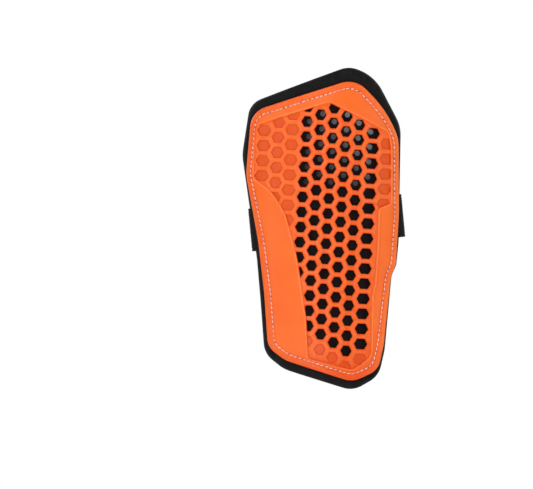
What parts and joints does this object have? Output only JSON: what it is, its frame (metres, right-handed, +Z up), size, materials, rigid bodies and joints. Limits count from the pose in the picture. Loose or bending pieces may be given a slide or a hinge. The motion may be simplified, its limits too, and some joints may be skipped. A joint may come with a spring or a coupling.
{
  "type": "shin guard",
  "caption": "Slip-in shin guard for ball sports: curved shell with hexagonal vents on a moulded foam pad, held by an elastic calf strap that fastens with hook and loop.",
  "frame": {"origin": "middle of the pad's inner face, where it rests on the shin", "axes": "+Z up the leg, +Y from the guard's front through the shin to the calf strap, +X towards the outer side of a right leg"},
  "size_m": [0.1135, 0.0426, 0.221],
  "materials": {
    "shell_plastic": "satin moulded plastic",
    "black_foam": "matt closed-cell foam",
    "black_lining": "fine knit",
    "black_elastic": "ribbed elastic webbing",
    "black_hooks": "hook tape",
    "pale_thread": "twisted thread",
    "dark_thread": "twisted thread"
  },
  "bodies": {
    "guard": {"shell": "shell_plastic", "foam_pad": "black_foam", "lining": "black_lining", "edge_stitching": "pale_thread", "strap_anchor": "black_elastic", "tab_anchor": "black_elastic"},
    "strap": {"strap": "black_elastic"},
    "strap_end": {"strap_end": "black_elastic", "hook_patch": "black_hooks", "hook_stitching": "dark_thread"},
    "tab": {"tab": "black_elastic"}
  },
  "joints": [
    {"name": "strap_swing", "type": "hinge", "parent": "guard", "child": "strap", "pos_m": [-0.05126, 0.0222, -0.00074], "axis": [-0.0958, 0, 0.9954], "range_deg": [0, 110]},
    {"name": "end_peel", "type": "hinge", "parent": "strap", "child": "strap_end", "pos_m": [0.00284, 0.0264, 0.00447], "axis": [-0.0958, 0, 0.9954], "range_deg": [0, 90]},
    {"name": "tab_flex", "type": "hinge", "parent": "guard", "child": "tab", "pos_m": [0.05604, 0.0222, 0.0096], "axis": [0.0958, 0, -0.9954], "range_deg": [0, 44]}
  ],
  "couplings": [
    {"joint": "tab_flex", "follows": "strap_swing", "ratio": 0.4}
  ]
}
